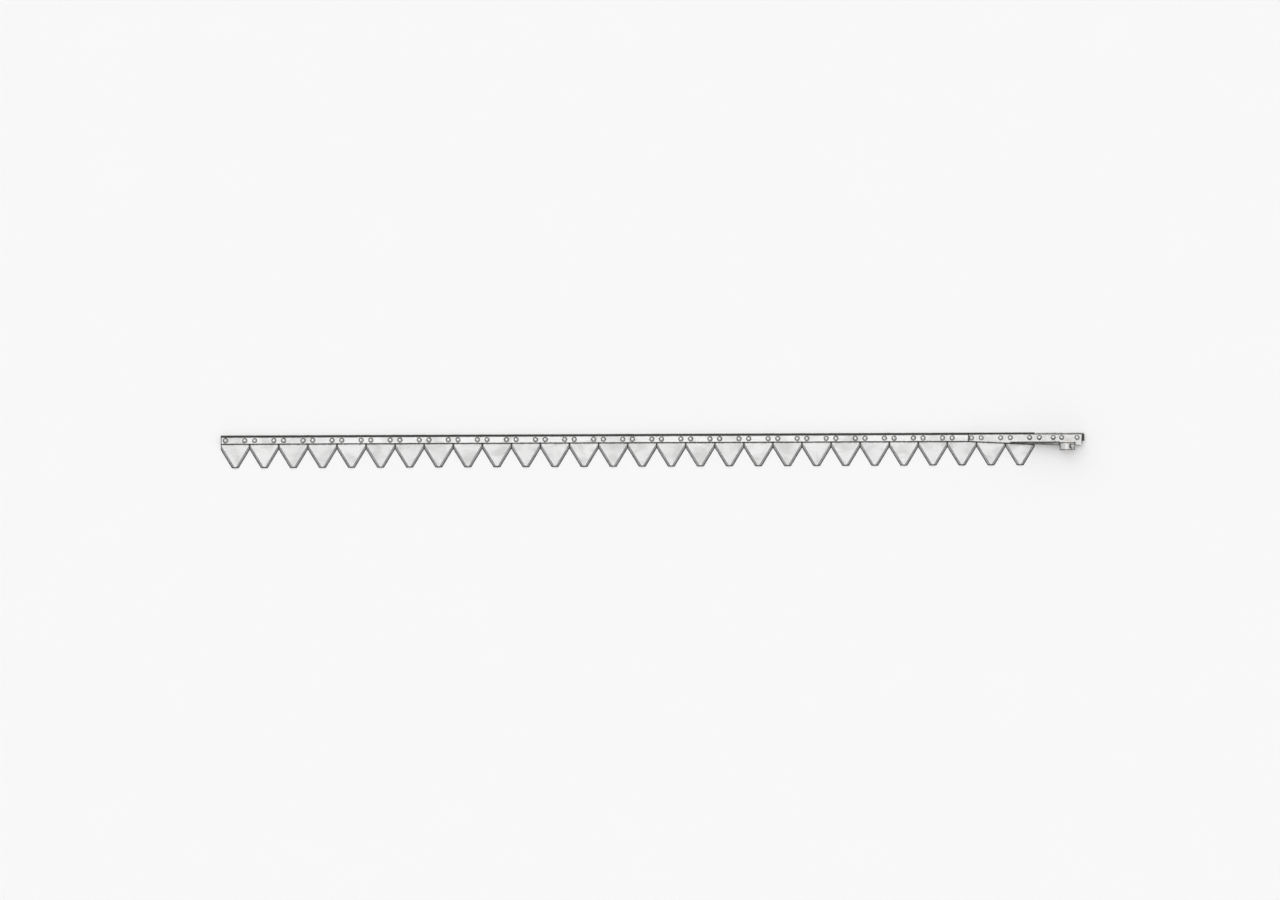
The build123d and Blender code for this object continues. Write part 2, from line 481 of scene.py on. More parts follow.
def turned_piece(name, rings, sides):
    """Raises a round piece from a disc. Each ring is a radius and a height."""
    radius, height = rings[0]
    bpy.ops.object.select_all(action="DESELECT")
    bpy.ops.mesh.primitive_circle_add(vertices=sides, radius=radius, fill_type="NGON")
    piece = bpy.context.object
    piece.name = name
    bpy.ops.object.mode_set(mode="EDIT")
    bpy.ops.mesh.select_mode(type="FACE")
    bpy.ops.mesh.select_all(action="SELECT")
    bpy.ops.transform.translate(value=(0, 0, height))
    for next_radius, next_height in rings[1:]:
        step = (0, 0, next_height - height)
        bpy.ops.mesh.extrude_region_move(TRANSFORM_OT_translate={"value": step})
        share = next_radius / radius
        bpy.ops.transform.resize(value=(share, share, 1), center_override=(0, 0, next_height))
        radius, height = next_radius, next_height
    bpy.ops.mesh.select_all(action="SELECT")
    bpy.ops.mesh.normals_make_consistent(inside=False)
    bpy.ops.object.mode_set(mode="OBJECT")
    print(name, "has", len(rings), "rings")
    return piece


# %% Turn a rivet of each length and set the copies
strap_top = head_low.z + 6.35 * MM
rivet_head = 5.7 * MM


def rivet_rings(seat):
    """The rings of a rivet whose head sits at one height: hammered end, shank and domed head."""
    end, shank, head, rise = 0.2 * MM, 3.15 * MM, rivet_head, 3.0 * MM
    rings = [(1.6 * MM, end), (2.9 * MM, end + 0.15 * MM), (shank, end + 0.5 * MM), (shank, seat)]
    rings += [(head - 0.2 * MM, seat), (head, seat + 0.25 * MM)]
    ball = (head * head + rise * rise) / (2 * rise)
    for share in (0.985, 0.93, 0.82, 0.66, 0.46, 0.24, 0.08):
        reach = head * share
        rings.append((reach, seat + rise - ball + sqrt(ball * ball - reach * reach)))
    return rings


def set_rivets(kind, places, seat):
    """Turns one rivet, sets a copy at each place, and removes the pattern."""
    pattern = turned_piece(kind, rivet_rings(seat), sides=28)
    work_on(pattern)
    bpy.ops.object.shade_smooth_by_angle(angle=radians(32))
    store(pattern, "worn_edge", lambda face: float(face.normal.z > 0.93))
    store(pattern, "from_axis", lambda point: point.co.xy.length, "POINT")
    copies = [
        copy_along(pattern, f"{kind}_{number:02d}", Vector((x, y, 0)))
        for number, (x, y) in enumerate(places, 1)
    ]
    bpy.data.objects.remove(pattern)
    return copies


short_rivets = set_rivets("short_rivet", short_places, bar_high.z)
long_rivets = set_rivets("long_rivet", long_places, strap_top)
print(len(short_rivets), "short rivets,", len(long_rivets), "long rivets")

# %% [markdown]
# ## The knife head
# The head is one forging: a strap along the bar, a rib that climbs from it, and an upright lug
# with the bore for the drive. Forged steel has no sharp corner anywhere. Rounding each edge by hand
# would be slow where so many surfaces meet. So the rough blocks are put together, remeshed into one
# skin and smoothed, which softens every edge and fills every foot. The machined bore, holes and
# seat are cut afterwards and stay crisp.

# %% Strap and rib
strap_front_y = bar_low.y - 11.7 * MM
lug_half = 20 * MM
lug_start_x = lug_x - lug_half
lug_end_x = lug_x + lug_half
lug_back_y = bush_high.y - 0.5 * MM
lug_front_y = head_low.y
rib_low_rise, rib_high_rise = 4.5 * MM, 18 * MM
rib_start_x = head_low.x + (lug_start_x - head_low.x) * 0.453

head = start_block(
    "forged_head",
    (head_low.x, strap_front_y, head_low.z),
    (head_high.x, head_high.y, strap_top),
)
slant_start = Vector((head_low.x, bar_low.y, 0))
slant = (Vector((lug_start_x, strap_front_y, 0)) - slant_start).normalized()
slant_outward = Vector((slant.y, -slant.x, 0))
cut_away(head, slant_start, slant_outward)
round_edges(head, upright_at(head_high.x), radius=2.0 * MM, steps=4)

rib = start_block(
    "rib",
    (rib_start_x, strap_front_y, head_low.z),
    (lug_start_x + 2 * MM, lug_back_y, strap_top + rib_high_rise),
)
cut_away(rib, slant_start, slant_outward)
climb = Vector((lug_start_x - rib_start_x, 0, rib_high_rise - rib_low_rise))
cut_away(rib, (rib_start_x, 0, strap_top + rib_low_rise), (-climb.z, 0, climb.x))
print("strap is", round((head_high.x - head_low.x) / MM, 1), "mm long")

# %% Lug and its foot
bore_z = (bush_low.z + bush_high.z) / 2
foot = 3.5 * MM
foot_z = strap_top + foot

lug = start_pin("lug", lug_half, (lug_x, lug_back_y, bore_z), (lug_x, lug_front_y, bore_z), 96)
cut_away(lug, (0, 0, bore_z), -up)
pick(lug, "FACE", lambda face: face.normal.z < -0.9)
bpy.ops.mesh.extrude_region_move(TRANSFORM_OT_translate={"value": (0, 0, head_low.z - bore_z)})
bpy.ops.object.mode_set(mode="OBJECT")


def foot_filling(name, low, high, hollow_start, hollow_end):
    """A block along the foot of the lug, hollowed by a round bar."""
    filling = start_block(name, low, high)
    combine(filling, start_pin("hollow", foot, hollow_start, hollow_end, 48), "DIFFERENCE")
    return filling


behind = foot_filling(
    "foot_behind",
    (rib_start_x, lug_back_y - MM, strap_top - MM),
    (lug_end_x, lug_back_y + foot, foot_z),
    (rib_start_x - MM, lug_back_y + foot, foot_z),
    (head_high.x, lug_back_y + foot, foot_z),
)
beside = foot_filling(
    "foot_beside",
    (lug_end_x - MM, strap_front_y, strap_top - MM),
    (lug_end_x + foot, lug_back_y, foot_z),
    (lug_end_x + foot, head_low.y, foot_z),
    (lug_end_x + foot, head_high.y, foot_z),
)
for block in (rib, lug, behind, beside):
    combine(head, block, "UNION")
print("rough forging has", len(head.data.polygons), "faces")

# %% One smooth skin
modify(head, "REMESH", mode="VOXEL", voxel_size=0.5 * MM)
modify(head, "SMOOTH", factor=0.5, iterations=12)
modify(head, "DECIMATE", decimate_type="DISSOLVE", angle_limit=radians(1.5))
modify(head, "TRIANGULATE")
print("forging has", len(head.data.polygons), "faces after smoothing")

# %% [markdown]
# The bore goes through the lug from front to back. The fitting sits on the shoulder of the lug, on
# a flat seat, and its hole meets the bore. Each cut is a pin taken away. The faces are cut into
# triangles before and after, so that every edge is shared by two faces only.

# %% Machined cuts
bush_radius = (bush_high.x - bush_low.x) / 2
fitting_lean = radians(38)
fitting_axis = Vector((sin(fitting_lean), 0, cos(fitting_lean)))
lug_middle = Vector((lug_x, (lug_back_y + lug_front_y) / 2, bore_z))
seat = lug_middle + fitting_axis * (lug_half - 1.2 * MM)
cuts = [
    ("bore", bush_radius, (lug_x, 0.03, bore_z), (lug_x, -0.02, bore_z), 96),
    ("spot_face", 5.5 * MM, seat, seat + fitting_axis * 4 * MM, 48),
    ("fitting_hole", 3.0 * MM, lug_middle, seat + fitting_axis * MM, 24),
]
for cut in cuts:
    combine(head, start_pin(*cut), "DIFFERENCE")
drill(head, long_places, head_low.z, strap_top)
modify(head, "TRIANGULATE")


def forged_edge(face):
    """1 on the rounded edges of the forging, 0 on its broad faces, its round top and its bore."""
    middle = face.center
    outwards = Vector((middle.x - lug_x, 0, middle.z - bore_z)).normalized()
    broad = max(abs(part) for part in face.normal) > 0.985
    round_top = middle.z > strap_top and abs(face.normal.dot(outwards)) > 0.97
    return 0.0 if broad or round_top else 1.0


store(head, "worn_edge", forged_edge)
bpy.ops.object.shade_smooth_by_angle(angle=radians(30))

# %% [markdown]
# ## The bushing and the grease fitting
# A bronze sleeve lines the bore, and a grease fitting on the shoulder of the lug feeds it. The
# sleeve is a tube: a cylinder without ends, given its wall with Solidify, its four rims rounded.
# The fitting is a hexagon with turned corners and a nipple with a ball end for the grease gun.

# %% Bushing
bush_play = 0.02 * MM
bpy.ops.object.select_all(action="DESELECT")
bpy.ops.mesh.primitive_cylinder_add(
    vertices=96,
    radius=bush_radius - bush_play,
    depth=bush_high.y - bush_low.y,
    end_fill_type="NOTHING",
    location=(lug_x, (bush_low.y + bush_high.y) / 2, bore_z),
    rotation=(radians(90), 0, 0),
)
bushing = settle("bronze_bushing")
modify(bushing, "SOLIDIFY", thickness=3.0 * MM, offset=-1)


def rim(edge):
    """True for the round rims at the two ends of the bushing."""
    level = abs(edge.verts[0].co.y - edge.verts[1].co.y) < CLOSE
    faces = [abs(face.normal.y) > 0.9 for face in edge.link_faces]
    return level and len(set(faces)) == 2


round_edges(bushing, rim, radius=0.4 * MM, steps=3)
mark_rounds(bushing, width=0.25 * MM)
work_on(bushing)
bpy.ops.object.shade_smooth_by_angle(angle=radians(32))

# %% Grease fitting
hex_height, fitting_height = 3.5, 9.5
shank_end = (bush_radius - (seat - lug_middle).length) / MM + 0.3


def rings_in_mm(rings):
    """Rings given in millimetres, for the lathe."""
    return [(radius * MM, height * MM) for radius, height in rings]


hex_rings = [(4.0, 0.02), (4.6, 0.5), (4.6, 3.0), (4.05, hex_height)]
nut = turned_piece("hexagon", rings_in_mm(hex_rings), sides=6)
above_hex = [(2.35, 0.6), (2.1, 1.9), (2.45, 2.6), (2.5, 3.2), (2.25, 4.2), (1.75, 5.3)]
ball_mouth = [(1.35, -0.15), (1.0, 0.0), (0.55, -0.1), (0.5, -0.9)]
nipple_rings = [(2.6, shank_end), (2.95, shank_end + 0.5), (2.95, 0.5), (2.95, hex_height)]
nipple_rings += [(radius, hex_height + rise) for radius, rise in above_hex]
nipple_rings += [(radius, fitting_height + rise) for radius, rise in ball_mouth]
nipple = turned_piece("nipple", rings_in_mm(nipple_rings), sides=32)
combine(nut, nipple, "UNION")
nut.rotation_euler = fitting_axis.to_track_quat("Z", "Y").to_euler()
nut.location = seat
work_on(nut)
settle("grease_nipple")
bpy.ops.object.shade_smooth_by_angle(angle=radians(28))
mark_rounds(nut, width=0.25 * MM)

# %% [markdown]
# ## Finishes
# All of it is bare metal, so the same few effects return in every finish: the fine grain of a
# rolled or ground surface, blotches of thin rust bloom and oil, edges that have rubbed bright, and
# dark lines of grease and painted shade in corners and joints. They are worked out in nodes. Each
# node could be added and wired by hand, but that gets long. A socket knows the tree that it is in,
# so a short function can put a new node after the values that it takes in.

# %% Arithmetic in nodes


def next_node(kind, inputs, **settings):
    """Adds a node to the tree that its linked inputs come from."""
    linked = [value for value in inputs.values() if isinstance(value, bpy.types.NodeSocket)]
    return add_node(linked[0].id_data, kind, inputs, **settings)


def reckon(how, first, second=0.0):
    """One step of arithmetic on two values."""
    return next_node("ShaderNodeMath", {0: first, 1: second}, operation=how).outputs[0]


def fold(how, values):
    """The same step of arithmetic from one value to the next."""
    total, *others = values
    for value in others:
        total = reckon(how, total, value)
    return total


def plus(*values):
    """The sum."""
    return fold("ADD", values)


def minus(*values):
    """The difference."""
    return fold("SUBTRACT", values)


def times(*values):
    """The product. Of masks, it is where all of them are."""
    return fold("MULTIPLY", values)


def least(*values):
    """The smallest. Of distances, it is the one to the nearest thing."""
    return fold("MINIMUM", values)


def most(*values):
    """The largest. Of masks, it is where any of them is."""
    return fold("MAXIMUM", values)


def off(value, middle):
    """How far a value is from a middle, on either side."""
    return reckon("ABSOLUTE", minus(value, middle))


print("arithmetic:", [word.__name__ for word in (plus, minus, times, least, most, off)])

# %% [markdown]
# ### Shared effects
# Each effect that returns is a node group with named inputs and outputs, built once and placed in
# each material with its own values. The first is the grain of a rolled or ground surface: noise
# whose streaks are longer along one direction than across it.

# %% Brushed grain


def start_group(name, output, **inputs):
    """A new node group that reads a place and named inputs, numbers or vectors."""
    tree = bpy.data.node_groups.new(name, "ShaderNodeTree")
    for title, value in {"Vector": (0, 0, 0), **inputs}.items():
        kind = "NodeSocketFloat" if isinstance(value, float) else "NodeSocketVector"
        tree.interface.new_socket(title, in_out="INPUT", socket_type=kind).default_value = value
    tree.interface.new_socket(output, in_out="OUTPUT", socket_type="NodeSocketFloat")
    return tree.nodes.new("NodeGroupInput").outputs


def finish_group(value):
    """Links the last value of a group to its output, and gives the finished group."""
    group = next_node("NodeGroupOutput", {0: value}).id_data
    print("group", group.name, "has", len(group.nodes), "nodes")
    return group


def vector(how, first, second=(0, 0, 0)):
    """One step of arithmetic on two places."""
    return next_node("ShaderNodeVectorMath", {0: first, 1: second}, operation=how).outputs


def noise(place, scale, detail, **more):
    """Cloudy noise."""
    inputs = {"Vector": place, "Scale": scale, "Detail": detail, **more}
    return next_node("ShaderNodeTexNoise", inputs).outputs["Fac"]


given = start_group("brushed_grain", "Grain", Stretch=(40, 900, 900))
stretched = vector("MULTIPLY", given["Vector"], given["Stretch"])["Vector"]
brushed_grain = finish_group(noise(stretched, 1.0, 5.0, Roughness=0.65))

# %% [markdown]
# Bare steel is never one even tone: oil and thin rust bloom lie on it in soft patches. Noise with a
# narrow range makes them, and its two limits set how much of the surface they cover.

# %% Soft patches


def ranged(value, over=(0.0, 1.0), to=(0.0, 1.0), **settings):
    """Spreads a value over one range to another range."""
    ranges = {"From Min": over[0], "From Max": over[1], "To Min": to[0], "To Max": to[1]}
    return next_node("ShaderNodeMapRange", {"Value": value, **ranges}, **settings).outputs["Result"]


SOFT = {"interpolation_type": "SMOOTHSTEP"}
given = start_group("soft_patches", "Mask", Scale=20.0, Low=0.42, High=0.68)
cloud = noise(given["Vector"], given["Scale"], 6.0, Distortion=0.5)
soft_patches = finish_group(ranged(cloud, over=(given["Low"], given["High"]), **SOFT))

# %% [markdown]
# Edges that are handled and rubbed turn bright, and not evenly. The number stored on the faces says
# where an edge is, and noise breaks it up.

# %% Worn edges


def past(value, start, end):
    """A mask that rises from 0 at the start to 1 at the end."""
    return ranged(value, over=(start, end))


given = start_group("worn_edges", "Mask", Edge=0.0, Scale=300.0)
broken = noise(given["Vector"], given["Scale"], 3.0)
worn_edges = finish_group(times(given["Edge"], past(broken, 0.3, 0.6)))

# %% [markdown]
# Grease and painted shade lie in corners and along joints, and heat tint and scale lie along edges.
# The group is given a distance from such a line, and its mask fades out over a width that noise
# makes uneven.

# %% Fading line, for grease, painted shade, tint and scale
# This mask carries grease and painted shade in corners and joints, as well as tint and scale
given = start_group("fading_line", "Mask", Distance=1.0, Width=2 * MM)
ragged = noise(given["Vector"], 260.0, 4.0)
fade_end = times(given["Width"], ranged(ragged, over=(0.3, 0.7), to=(0.6, 1.5)))
fading_line = finish_group(ranged(given["Distance"], over=(0.0, fade_end), to=(1.0, 0.0), **SOFT))

# %% [markdown]
# The rivets of the sections repeat with the pitch, so their distance can be folded: the remainder
# of the division by the pitch gives the place within one section, and its size does for both sides.

# %% Distance from the nearest section rivet, seen from above
pitch = section_middles[1] - section_middles[0]
row_start = section_middle - pitch / 2


def parts(place):
    """The X, Y and Z of a place."""
    return next_node("ShaderNodeSeparateXYZ", {"Vector": place}).outputs


def joined(x, y, z=0.0):
    """A place from its X, Y and Z."""
    return next_node("ShaderNodeCombineXYZ", {"X": x, "Y": y, "Z": z}).outputs["Vector"]


def distance(first, second):
    """The straight distance of two steps at a right angle."""
    return vector("LENGTH", joined(first, second))["Value"]


x, y, z = parts(start_group("rivet_distance", "Distance")["Vector"])
in_section = reckon("MODULO", minus(x, row_start), pitch)
along_step = minus(off(in_section, pitch / 2), rivet_reach)
rivet_distance = finish_group(distance(along_step, minus(y, rivet_y)))

# %% [markdown]
# A finish is a material that places these groups. Each gets a short function too, which takes the
# place on the piece first: its Object coordinates, the same in every view and for every copy.

# %% The effects in a finish


def start_finish(name):
    """A new metal, with the place on the piece that its nodes read."""
    material, tree, shader = start_material(name, Metallic=1.0)
    return material, add_node(tree, "ShaderNodeTexCoord").outputs["Object"]


def use(group, place, **inputs):
    """Places a node group and gives its output."""
    return next_node("ShaderNodeGroup", {"Vector": place, **inputs}, node_tree=group).outputs[0]


def stored(place, name):
    """A number that is stored on the faces or points of a piece."""
    return add_node(place.id_data, "ShaderNodeAttribute", attribute_name=name).outputs["Fac"]


def grain(place, stretch):
    """Streaks of a rolled or ground surface."""
    return use(brushed_grain, place, Stretch=stretch)


def patches(place, scale, low=0.42, high=0.68):
    """Soft patches."""
    return use(soft_patches, place, Scale=scale, Low=low, High=high)


def worn(place, scale=300.0):
    """Edges rubbed bright."""
    return use(worn_edges, place, Edge=stored(place, "worn_edge"), Scale=scale)


def line_mask(place, from_line, width):
    """A mask that fades out from a line, for grease and painted shade, heat tint and scale."""
    return use(fading_line, place, Distance=from_line, Width=width)


print("effects:", [word.__name__ for word in (grain, patches, worn, line_mask)])

# %% [markdown]
# Masks choose between colours. The last step of a finish links the colour, the roughness and a fine
# relief to the shader. Dressing a piece gives it the material, and says what the piece rides on and
# which CAD nodes it stands for.

# %% Colours and the last step
# Dark colour for grease, and for painted shade in corners, joints and round the rivets
GREASE_AND_SHADE = (0.045, 0.043, 0.040, 1)


def blend(mask, first, second):
    """Mixes two colours by a mask."""
    return next_node("ShaderNodeMix", {0: mask, 6: first, 7: second}, data_type="RGBA").outputs[2]


def streaked(colour, streaks, share, over, dark):
    """Darkens a colour along streaks, by a share at most."""
    return blend(ranged(streaks, over=over, to=(0.0, share)), colour, dark)


def roughness(streaks, low, high):
    """Roughness that follows streaks."""
    return ranged(streaks, over=(0.3, 0.7), to=(low, high))


def finish(material, colour, rough, relief, depth):
    """Links the colour, the roughness and a relief, deep as given in metres, to the shader."""
    bump = next_node("ShaderNodeBump", {"Height": relief, "Distance": depth, "Strength": 1.0})
    tree = material.node_tree
    shader = tree.nodes["Principled BSDF"]
    tree.links.new(colour, shader.inputs["Base Color"])
    tree.links.new(rough, shader.inputs["Roughness"])
    tree.links.new(bump.outputs["Normal"], shader.inputs["Normal"])
    print(material.name, "has", len(tree.nodes), "nodes")


def dress(pieces, material, slot_name, *nodes):
    """Gives pieces a finish, and says what they ride on and stand for."""
    for piece in pieces:
        piece.data.materials.clear()
        piece.data.materials.append(material)
        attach(piece, "root")
        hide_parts(*nodes)


print("grease colour:", GREASE_AND_SHADE[:3])

# %% [markdown]
# ### Blade steel
# A section is rolled strip: pale, satin, with faint streaks along the knife. All sections could
# have a material each, but one serves them all: the place along the row gives each section its
# number, and the number gives it a slightly different shade.

# %% Rolled flats
blade_steel, place = start_finish("blade_steel")
x, y, z = parts(place)
rolled = grain(place, (30, 1100, 1100))
clouds = patches(place, 24.0)
flat_colour = blend(clouds, (0.62, 0.62, 0.617, 1), (0.54, 0.54, 0.535, 1))
flat_colour = streaked(flat_colour, rolled, 0.35, (0.35, 0.75), grey(0.4))

along_row = minus(x, row_start)
own_number = reckon("FLOOR", reckon("DIVIDE", along_row, pitch))
own_shade = next_node("ShaderNodeTexWhiteNoise", {"W": own_number}, noise_dimensions="1D")
own_mask = ranged(own_shade.outputs["Value"], to=(0.0, 0.22))
flat_colour = blend(own_mask, flat_colour, (0.42, 0.42, 0.415, 1))
print("flats have", len(blade_steel.node_tree.nodes), "nodes")

# %% [markdown]
# The two slopes of a section are ground across the edge, so their streaks turn with each slope. The
# cutting edges are hardened, and the heat leaves a dark tint along them. A burr darkens the line
# where a slope begins. One coordinate is measured from the middle of each section and mirrored, so
# a single pattern serves both slopes.

# %% Ground slopes
HEAT_TINT = (0.05, 0.05, 0.055, 1)
edge_reach = half_width * edge_outward.x + shoulder_y * edge_outward.y
hard_width = 1.0 * MM

slope = stored(place, "slope_side")
ground = reckon("ABSOLUTE", slope)
off_middle = minus(reckon("MODULO", along_row, pitch), pitch / 2)
slope_place = joined(times(off_middle, slope), y, x)
turned = next_node("ShaderNodeMapping", {"Vector": slope_place, "Rotation": (0, 0, -edge_angle)})
wheel = grain(turned.outputs["Vector"], (60, 1600, 25))
ground_colour = blend(past(wheel, 0.35, 0.7), grey(0.42), grey(0.70))

across = vector("DOT_PRODUCT", slope_place, tuple(edge_outward))["Value"]
to_edge = minus(edge_reach, across)
burr = line_mask(place, off(to_edge, grind_width), width=1.3 * MM)
tint = line_mask(place, minus(to_edge, hard_width), width=2.4 * MM)
ground_colour = blend(times(burr, 0.75), ground_colour, HEAT_TINT)
ground_colour = blend(times(tint, 0.95), ground_colour, HEAT_TINT)
colour = blend(ground, flat_colour, ground_colour)
colour = blend(worn(place), colour, grey(0.85))
print("cutting edge lies", round(edge_reach / MM, 1), "mm out from the middle of a section")

# %% [markdown]
# The dark lines on the blades are grease and sap with painted shade: painted shade in the joints
# and on the ledge behind the bar, and a painted shadow in front of the bar and the strap and along
# the blunt tip. Each is a distance from a line, worked out from the Object coordinates: the joint
# to the next section, the corner in front of the bar and the strap, the ledge behind the bar, and
# the blunt tip. It is thickest where a joint meets the bar.

# %% Grease, sap and painted shade on the blades
slant_rate = (bar_low.y - strap_front_y) / (lug_start_x - head_low.x)


def level_front(x, y):
    """Y, shifted so that the slanted front of the strap is in line with the front of the bar."""
    past_start = most(minus(x, head_low.x), 0.0)
    return plus(y, times(past_start, slant_rate))


to_joint = minus(half_width, reckon("ABSOLUTE", off_middle))
to_front = off(level_front(x, y), bar_low.y - 0.5 * MM)
to_ledge = minus(off(y, bar_high.y + 2 * MM), 1.8 * MM)
to_tip = minus(y, section_low.y + 1.5 * MM)
to_corner = minus(distance(to_joint, to_front), 2.2 * MM)
# Grease and sap, with painted shade in the joints and on the ledge and a painted shadow in front of
# the bar and along the tip
grease_and_shade = most(
    line_mask(place, to_joint, width=2.6 * MM),
    line_mask(place, to_front, width=3.2 * MM),
    line_mask(place, to_ledge, width=1.6 * MM),
    line_mask(place, to_tip, width=2.2 * MM),
    line_mask(place, to_corner, width=2.4 * MM),
)
grease_and_shade = times(grease_and_shade, ranged(z, over=(0.05 * MM, 0.3 * MM), to=(0.0, 0.93)))
colour = blend(grease_and_shade, colour, GREASE_AND_SHADE)

rough = plus(roughness(rolled, 0.30, 0.46), times(clouds, 0.06))
rough = plus(minus(rough, times(ground, 0.08)), times(grease_and_shade, 0.3))
finish(blade_steel, colour, rough, plus(rolled, times(wheel, ground, 1.5)), depth=0.02 * MM)
for number, piece in enumerate(sections, 1):
    dress([piece], blade_steel, "blade_steel", f"section_{number:02d}")

# %% [markdown]
# ### Bar and plate steel
# The bar is drawn steel with long streaks along it and a thin grey skin. Each rivet has a dark ring
# of grease with painted shade around its head, and lines of grease and painted shade lie along the
# edges of the bar, against the ends of the strap and on the end of the bar past the strap. The
# plate is the same steel, rubbed a little more, so one function makes both.

# %% Bar and plate steel
ring_radius = 5.6 * MM
ring_width = 2.1 * MM


def from_nearest(place, spots):
    """Distance from the nearest of some spots, seen from above."""
    flat = vector("MULTIPLY", place, (1, 1, 0))["Vector"]
    return least(*[vector("DISTANCE", flat, (x, y, 0))["Value"] for x, y in spots])


def drawn_steel(name, light, dark, lines, spots=()):
    """Drawn bar: streaks, grey skin, bright edges, and rings around the rivets and lines across it
    of grease and painted shade.
    """
    material, place = start_finish(name)
    sides = parts(place)
    streaks = grain(place, (9, 1300, 1300))
    skin = patches(place, 16.0, 0.45, 0.72)
    colour = streaked(blend(skin, light, dark), streaks, 0.4, (0.4, 0.75), grey(0.36))
    colour = blend(worn(place), colour, grey(0.8))
    if spots:
        from_ring = off(from_nearest(place, spots), hole_radius)
    else:
        from_ring = off(use(rivet_distance, place), ring_radius)
    # Rings and lines of grease with painted shade, round the rivets and along the edges
    grease_and_shade = line_mask(place, from_ring, ring_width)
    for axis, middle, half, width, low_z in lines:
        line = line_mask(place, minus(off(sides[axis], middle), half), width)
        above = ranged(sides["Z"], over=(low_z, low_z + 0.6 * MM), to=(0.0, 0.9))
        grease_and_shade = most(grease_and_shade, times(line, above))
    colour = blend(grease_and_shade, colour, GREASE_AND_SHADE)
    rough = plus(roughness(streaks, 0.30, 0.46), times(skin, 0.1), times(grease_and_shade, 0.3))
    finish(material, colour, rough, plus(streaks, times(skin, 0.6)), depth=0.03 * MM)
    return material


bar_edge_z = bar_high.z - 1.2 * MM
# Lines of grease and painted shade: the ends of the bar, the strap ends on it, the painted shade on
# the bar end past the strap, and the long edges
bar_lines = [
    ("X", bar_low.x, 0.8 * MM, 2.4 * MM, bar_edge_z),
    ("X", head_low.x, 1.4 * MM, 3.0 * MM, bar_low.z),
    ("X", head_high.x + 3.0 * MM, 2.2 * MM, 3.0 * MM, bar_low.z),
    ("Y", bar_high.y, 0.6 * MM, 2.0 * MM, bar_edge_z),
    ("Y", bar_low.y, 0.4 * MM, 1.6 * MM, bar_edge_z),
]
plate_lines = [("Y", bar_high.y, 0.8 * MM, 2.4 * MM, plate_high.z - MM)]
bar_steel = drawn_steel("bar_steel", (0.66, 0.66, 0.657, 1), (0.56, 0.56, 0.555, 1), bar_lines)
plate_steel = drawn_steel(
    "plate_steel", (0.58, 0.58, 0.577, 1), (0.48, 0.48, 0.475, 1), plate_lines, plate_places
)
dress([bar], bar_steel, "bar_steel", "knife_back")
dress([plate], plate_steel, "plate_steel", "wear_plate")

# %% [markdown]
# ### Forged steel
# A forging comes out of the die with a grainy, slightly pitted skin and dark scale. Here the strap
# and the lug are cleaned to grey steel, and the scale stays on the rib, where no tool reaches. The
# rib could have a material of its own, but the head is one piece, so a mask finds the rib by its
# place: above the strap and short of the lug.

# %% Forged skin, and scale on the rib
FORGE_SCALE = (0.085, 0.083, 0.080, 1)
FLAKED_SCALE = (0.19, 0.18, 0.17, 1)


def before(value, start, end):
    """A mask that falls from 1 at the start to 0 at the end."""
    return ranged(value, over=(start, end), to=(1.0, 0.0))


forged_steel, place = start_finish("forged_steel")
x, y, z = parts(place)
skin = patches(place, 45.0, 0.38, 0.7)
pits = next_node("ShaderNodeTexVoronoi", {"Vector": place, "Scale": 1000.0}).outputs["Distance"]
fine = noise(place, 900.0, 5.0)
colour = blend(skin, (0.68, 0.677, 0.67, 1), (0.58, 0.577, 0.57, 1))
colour = streaked(colour, fine, 0.4, (0.45, 0.8), grey(0.36))

rib_part = before(x, lug_start_x - 2 * MM, lug_start_x)
raised = line_mask(place, minus(strap_top + 1.4 * MM, z), width=1.3 * MM)
scale_mask = times(rib_part, raised, ranged(skin, to=(1.0, 0.75)))
flakes = patches(place, 130.0, 0.45, 0.7)
colour = blend(scale_mask, colour, blend(flakes, FORGE_SCALE, FLAKED_SCALE))
bare = ranged(scale_mask, to=(0.35, 0.0))
colour = blend(times(worn(place), bare), colour, grey(0.75))
print("skin and rib have", len(forged_steel.node_tree.nodes), "nodes")

# %% [markdown]
# The faces of the lug are machined round the bore, and scale is left outside them: along its front
# and back edges and down its sides, but only near the rim. The rim is a distance from the bore,
# round above its middle and straight below.

# %% Scale round the rim of the lug
off_middle = off(x, lug_x)
off_side = times(off(off_middle, lug_half + MM), 0.6)
off_outline = least(off(y, lug_front_y), off(y, lug_back_y), off_side)
on_lug = before(off_middle, lug_half + MM, lug_half + 2.5 * MM)
not_behind = before(y, lug_back_y + MM, lug_back_y + 2.5 * MM)
above_bore = most(minus(z, bore_z), 0.0)
to_rim = minus(lug_half - 0.8 * MM, distance(off_middle, above_bore))
on_rim = line_mask(place, to_rim, width=1.8 * MM)
rim_scale = times(line_mask(place, off_outline, width=3.6 * MM), on_lug, not_behind, on_rim)
print("with the lug,", len(forged_steel.node_tree.nodes), "nodes")

# %% [markdown]
# The rest follows the edges. Grease lies at the end of the strap and round the fitting, grease with
# painted shade lies in the corner along the foot of the rib, and the upper edges of the strap keep
# a thin line of scale. Each line is held to its own stretch by masks along X and Z.

# %% Lines along the foot and the strap
past_lug = past(x, lug_end_x, lug_end_x + MM)
near_top = past(z, strap_top - 1.2 * MM, strap_top - 0.6 * MM)
off_end = least(off(y, strap_front_y), off(x, head_high.x))
end_line = times(line_mask(place, off_end, width=1.8 * MM), past_lug, near_top)

off_fitting = off(from_nearest(place, [(seat.x, seat.y)]), 5.0 * MM)
upper_lug = past(z, bore_z, bore_z + 4 * MM)
smear = times(line_mask(place, off_fitting, width=2.4 * MM), upper_lug)

